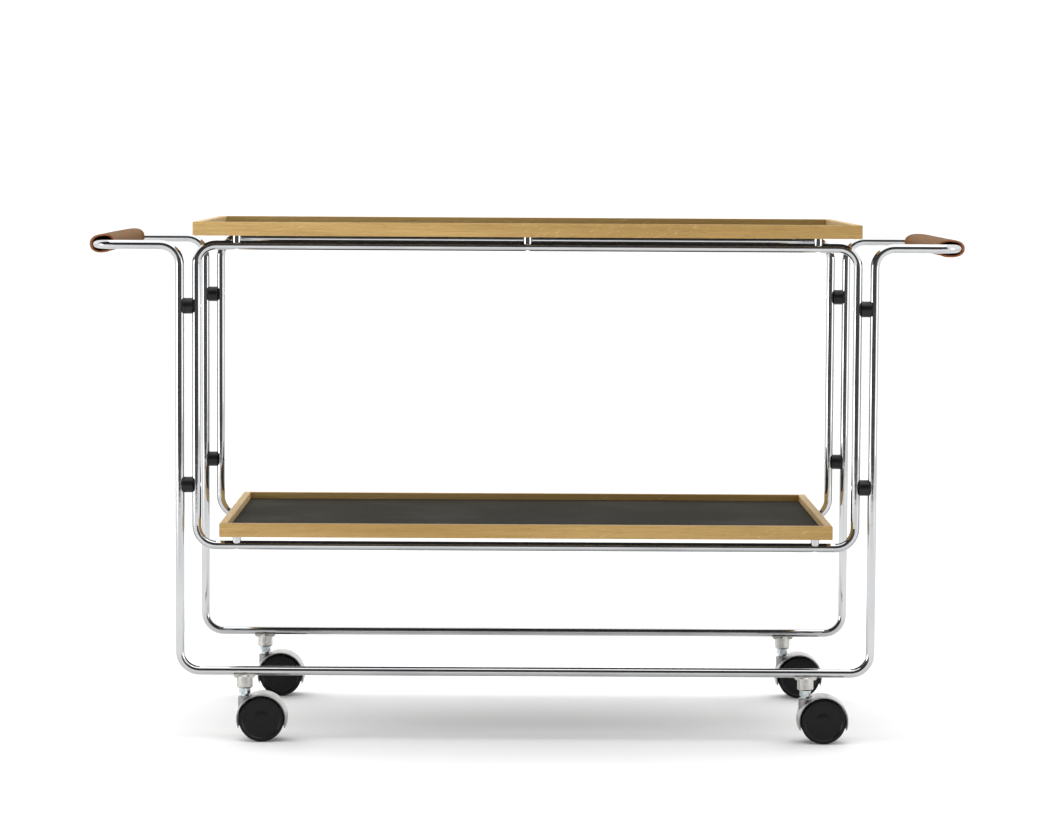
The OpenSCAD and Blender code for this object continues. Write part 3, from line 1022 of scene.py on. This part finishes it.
    def leather(self) -> bpy.types.Object:
        """Builds the folded strip.

        Returns:
            The strip's object.
        """
        line = self.midline()
        start, stop = self.low.y, self.high.y
        count = round((stop - start) / self.slice_l)
        full = stop - start - 2 * self.edge_r
        near, pinch = 0.35 * self.edge_r, 0.3 * self.edge_r
        places = [(start, self.edge_r), (start + near, pinch)]
        places += [(start + self.edge_r + full * step / count, 0.0) for step in range(count + 1)]
        places += [(stop - near, pinch), (stop, self.edge_r)]
        mesh = bmesh.new()
        rings = [self.strip_ring(line, y, pinch) for y, pinch in places]
        faces = skin(mesh, rings, caps=False)
        edge_faces = self.close_end(mesh, faces[0], 0) + self.close_end(mesh, faces[-1], -1)
        grain_points = len(line)
        for span in faces:
            for index, face in enumerate(span):
                on_edge = index in (0, grain_points, grain_points + 1, len(span) - 1)
                # inner faces take the flesh side's colour, lightened as painted light for the shaded inside
                face.material_index = 1 if on_edge else 2 * (index > grain_points)
        for face in edge_faces + faces[0] + faces[-1]:
            face.material_index = 1
        finishes = [self.finishes.hide, self.finishes.cut_edge, self.finishes.flesh]
        piece = link(f"{self.end}_leather_grip", mesh, finishes)
        piece.data.shade_smooth()
        smooth = piece.modifiers.new("even_out", "SUBSURF")
        smooth.levels = smooth.render_levels = 1
        return piece

    def close_end(
        self, mesh: bmesh.types.BMesh, faces: list[bmesh.types.BMFace], which: int
    ) -> list[bmesh.types.BMFace]:
        """Closes one cut end with a row of faces across the leather's thickness.

        Args:
            mesh: The strip's mesh.
            faces: The row of faces at that end.
            which: 0 for the first end, -1 for the last.

        Returns:
            The new faces.
        """
        ring = [face.verts[0] if which == 0 else face.verts[3] for face in faces]
        count = (len(ring) - 2) // 2
        made = [mesh.faces.new((ring[0], ring[1], ring[-1]))]
        for index in range(1, count):
            made.append(mesh.faces.new((ring[index], ring[index + 1], ring[-index - 1], ring[-index])))
        made.append(mesh.faces.new((ring[count], ring[count + 1], ring[count + 2])))
        return made

    def thread_ring(self, centre: Vector, along: Vector, up: Vector, radius: float) -> Ring:
        """A ring of points round a thread.

        Args:
            centre: Middle of the ring.
            along: Unit direction of the thread.
            up: Direction in which the ring starts.
            radius: Radius of the thread.

        Returns:
            The ring's points.
        """
        side = along.cross(up).normalized()
        top = side.cross(along).normalized()
        ring = []
        for step in range(self.thread_sides):
            angle = math.tau * step / self.thread_sides
            ring.append(centre + radius * (math.cos(angle) * side + math.sin(angle) * top))
        return ring

    def stitches(self) -> bpy.types.Object:
        """Builds the row of slanted stitches that draws the two edges together.

        Returns:
            The row's object.
        """
        mesh = bmesh.new()
        run = self.high.y - self.low.y - 2 * self.end_room
        count = round(run / self.stitch_pitch)
        pitch = run / count
        steps = self.stitch_steps
        line = self.midline()
        first_edge, last_edge = line[0], line[-1]
        middle = (first_edge[0] + last_edge[0]) / 2
        out = (first_edge[1] + last_edge[1]).normalized()
        across = Vector((-out.y, out.x))
        for number in range(count):
            start = self.low.y + self.end_room + number * pitch
            points = []
            for step in range(steps + 1):
                share = step / steps
                arch = self.stitch_r * (1.6 * math.sqrt(math.sin(math.pi * share)) - 0.9)
                aside = across * (share - 0.5) * 2 * self.stitch_half
                spot = middle + out * (self.thick / 2 + arch) + aside
                points.append(self.world(spot, start + pitch * (0.12 + 0.76 * share)))
            rings = []
            for step, centre in enumerate(points):
                before, after = points[max(0, step - 1)], points[min(steps, step + 1)]
                shrink = 0.6 if step in (0, steps) else 1.0
                up = Vector((self.side * out.x, 0.0, out.y))
                along = (after - before).normalized()
                rings.append(self.thread_ring(centre, along, up, self.stitch_r * shrink))
            skin(mesh, rings)
        piece = link(f"{self.end}_grip_stitches", mesh, [self.finishes.thread])
        piece.data.shade_smooth()
        return piece

    def build(self) -> None:
        """Builds the leather and its stitches and fits them to the crossbar."""
        leather = self.leather()
        stitches = self.stitches()
        line = self.midline()
        for piece in (leather, stitches):
            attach(piece, "frame")
        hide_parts(f"{self.end}_grip")


# ---------------------------------------------------------------- casters


@dataclass
class Casters:
    """Four twin-wheel casters with their sockets, stems and retaining rings."""

    finishes: Finishes

    def build(self) -> None:
        """Dresses the sockets, stems and rings, and each caster's hood, axle and wheels."""
        dress("caster_sockets", self.finishes.nickel)
        dress("caster_stems", self.finishes.zinc)
        dress("caster_retaining_rings", self.finishes.steel)
        for side in ("front", "back"):
            for end in ("left", "right"):
                caster = f"{side}_{end}_caster"
                dress(f"{caster}_hood", self.finishes.casting)
                dress(f"{caster}_axle", self.finishes.steel)
                for which in ("front", "back"):
                    dress(f"{caster}_{which}_wheel", self.finishes.wheel_black)


# ---------------------------------------------------------------- studio


@dataclass(frozen=True)
class Viewpoint:
    """The camera: a long lens at some distance, a little above the upper tray."""

    place: Point3 = (-0.0248, -4.8886, 0.7764)
    down: float = math.radians(4.153)
    right: float = math.radians(0.356)
    roll: float = math.radians(0.328)
    lens: float = 121.10
    sensor: float = 36.0
    far: float = 100.0

    def build(self) -> None:
        """Places the camera and makes it the scene's own."""
        data = bpy.data.cameras.new("viewpoint")
        data.lens, data.sensor_width, data.sensor_fit = self.lens, self.sensor, "HORIZONTAL"
        data.clip_end = self.far
        camera = bpy.data.objects.new("viewpoint", data)
        bpy.context.scene.collection.objects.link(camera)
        turn = Matrix.Rotation(-self.right, 4, "Z")
        tilt = Matrix.Rotation(math.pi / 2 - self.down, 4, "X")
        roll = Matrix.Rotation(self.roll, 4, "Z")
        camera.matrix_world = Matrix.Translation(self.place) @ turn @ tilt @ roll
        bpy.context.scene.camera = camera


@dataclass(frozen=True)
class Panel:
    """One soft light: a rectangle that faces the cart."""

    name: str
    place: Point3
    width: float
    height: float
    power: float
    aim: Point3 = (0.0, 0.0, 0.4)

    def build(self) -> None:
        """Hangs the light and turns it towards the middle of the cart."""
        data = bpy.data.lights.new(self.name, "AREA")
        data.shape, data.energy = "RECTANGLE", self.power
        data.size, data.size_y = self.width, self.height
        lamp = bpy.data.objects.new(self.name, data)
        lamp.location = self.place
        towards = Vector(self.aim) - lamp.location
        lamp.rotation_euler = towards.to_track_quat("-Z", "Y").to_euler()
        bpy.context.scene.collection.objects.link(lamp)


@dataclass(frozen=True)
class Studio:
    """A pale floor and dome, soft lights, and a dim side and a black flag for the metal to mirror."""

    floor_half: float = 60.0
    floor_drop: float = 0.2 * MM
    seen: Colour = (1.0, 1.0, 1.0)
    bright: Colour = (1.90, 1.90, 1.90)
    front: Colour = (0.40, 0.40, 0.40)
    front_towards: Point3 = (0.10, -0.93, 0.34)
    front_edge: float = -0.20
    front_full: float = 0.75
    mirrored: Colour = (1.6, 1.6, 1.6)
    dim: Colour = (0.040, 0.040, 0.044)
    dim_towards: Point3 = (-0.36, -0.86, 0.36)
    dim_edge: float = 0.42
    dim_full: float = 0.70
    flag_low: Point3 = (-7.0, -3.5, 0.0)
    flag_high: Point3 = (3.0, -3.5, 1.6)
    flag_colour: Colour = (0.07, 0.07, 0.07)
    lights: tuple[Panel, ...] = (
        Panel("key_light", (-3.6, -1.6, 0.6), 1.2, 1.2, 30.0),
        Panel("fill_light", (3.4, -1.6, 0.8), 1.0, 1.4, 12.0),
        Panel("top_light", (0.0, -0.5, 2.8), 2.6, 2.6, 34.0),
    )

    def plane(self, name: str, points: list[Point3], finish: Material) -> None:
        """Builds one flat piece of the studio, which isn't part of the cart.

        Args:
            name: Name of the piece.
            points: Its corners.
            finish: Its material.
        """
        mesh = bmesh.new()
        mesh.faces.new([mesh.verts.new(point) for point in points])
        link(name, mesh, [finish])

    def floor(self) -> None:
        """Lays the floor just under the wheels."""
        half, z = self.floor_half, -self.floor_drop
        around = [(-half, -half, z), (half, -half, z), (half, half, z), (-half, half, z)]
        self.plane("studio_floor", around, StudioFloor().build())

    def flag(self) -> None:
        """Stands a black flag in front of the cart that only mirrors see."""
        (x0, y, z0), (x1, _, z1) = self.flag_low, self.flag_high
        black = Graph("black_flag")
        black.surface(Base_Color=self.flag_colour, Roughness=1.0, Specular_IOR_Level=0.0)
        self.plane("black_flag", [(x0, y, z0), (x0, y, z1), (x1, y, z1), (x1, y, z0)], black.material)
        flag = bpy.data.objects["black_flag"]
        flag.visible_camera = flag.visible_diffuse = flag.visible_shadow = False
        flag.visible_transmission = flag.visible_volume_scatter = False

    def facing(self, nodes: Nodes, where: Socket, direction: Point3) -> Socket:
        """How nearly a place on the dome lies in a direction.

        Args:
            nodes: The dome's node tree.
            where: The place on the dome.
            direction: The direction.

        Returns:
            The nearness, from -1 to 1.
        """
        made = nodes.add("ShaderNodeVectorMath")
        made.operation = "DOT_PRODUCT"
        nodes.plug(made.inputs[0], where)
        nodes.plug(made.inputs[1], Vector(direction).normalized())
        return made.outputs["Value"]

    def choose(self, nodes: Nodes, share: Socket, first: Any, last: Any) -> Socket:
        """One of two glows.

        Args:
            nodes: The dome's node tree.
            share: 0 for the first, 1 for the last.
            first: Colour or glow of the first.
            last: Colour or glow of the last.

        Returns:
            The chosen glow.
        """
        made = nodes.add("ShaderNodeMixShader")
        for socket, value in zip(made.inputs, (share, first, last)):
            nodes.plug(socket, value)
        return made.outputs[0]

    def world(self) -> None:
        """Lights the dome: pale where it is seen, soft where it lights, and with a dim side in mirrors."""
        world = bpy.data.worlds.new("studio_dome")
        world.use_nodes = True
        nodes = Nodes(world.node_tree)
        where = nodes.add("ShaderNodeTexCoord").outputs["Generated"]
        path = nodes.add("ShaderNodeLightPath").outputs

        def glow(colour: Any) -> Socket:
            """A glow of one colour."""
            return nodes.add("ShaderNodeBackground", Color=colour).outputs[0]

        front = nodes.ramp(self.facing(nodes, where, self.front_towards), self.front_edge, self.front_full)
        dim = nodes.ramp(self.facing(nodes, where, self.dim_towards), self.dim_edge, self.dim_full)
        soft = glow(nodes.blend(front, self.bright, self.front))
        mirror = glow(nodes.blend(dim, self.mirrored, self.dim))
        lighting = self.choose(nodes, path["Is Glossy Ray"], soft, mirror)
        shown = self.choose(nodes, path["Is Camera Ray"], lighting, glow(self.seen))
        nodes.add("ShaderNodeOutputWorld", Surface=shown)
        bpy.context.scene.world = world

    def build(self) -> None:
        """Builds the floor, the flag, the dome and the lights."""
        self.floor()
        self.flag()
        self.world()
        for light in self.lights:
            light.build()
        bpy.context.scene.view_settings.view_transform = "Standard"


# ---------------------------------------------------------------- the cart


def corners(box: tuple[Vector, Vector]) -> list[list[float]]:
    """A box as plain lists of numbers."""
    return [list(corner) for corner in box]


def main() -> None:
    """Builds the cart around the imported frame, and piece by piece."""
    logging.basicConfig(level=logging.INFO, format="%(message)s")
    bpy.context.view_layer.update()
    Viewpoint().build()
    finishes = Finishes()
    steps: list[Callable[[], None]] = [
        TubeFrames(finishes).build,
        Tray("upper", finishes).build,
        Tray("lower", finishes).build,
        LeatherGrip("left", finishes, width=33.0 * MM, height=24.0 * MM, lift=math.radians(7)).build,
        LeatherGrip("right", finishes).build,
        Casters(finishes).build,
        Studio().build,
    ]
    for step in steps:
        step()
    bpy.context.view_layer.update()


if __name__ == "__main__":
    main()
